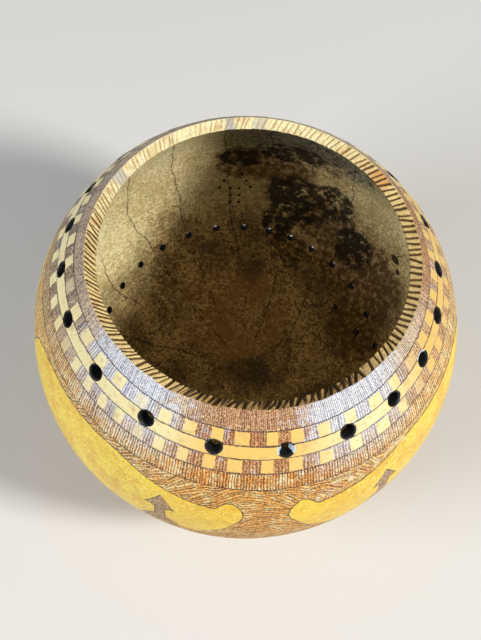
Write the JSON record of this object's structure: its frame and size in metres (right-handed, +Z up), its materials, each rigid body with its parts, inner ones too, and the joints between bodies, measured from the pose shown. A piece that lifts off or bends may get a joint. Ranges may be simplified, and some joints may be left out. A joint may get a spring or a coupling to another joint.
{
  "type": "carved gourd bowl",
  "caption": "Deep round gourd bowl, engraved and burnt in bands, pierced by rings of holes, with a notched sawn rim.",
  "frame": {"origin": "middle of the flat spot the gourd stands on", "axes": "+Z up through the middle of the mouth, -Y the side seen in front"},
  "size_m": [0.25, 0.25, 0.209],
  "materials": {
    "rind": "satin, engraved and burnt, reserved areas polished yellow",
    "inner_wood": "matte, scraped and stained",
    "cut_edge": "matte, fresh knife cuts",
    "char": "glossy char"
  },
  "bodies": {
    "root": {"rind_shoulder": "rind", "rind_belly": "rind", "rind_flank": "rind", "rind_foot": "rind", "wall_shoulder": "inner_wood", "wall_belly": "inner_wood", "wall_flank": "inner_wood", "wall_floor": "inner_wood", "notched_rim": "cut_edge", "upper_hole_linings": "char", "lower_hole_linings": "char"}
  },
  "joints": []
}
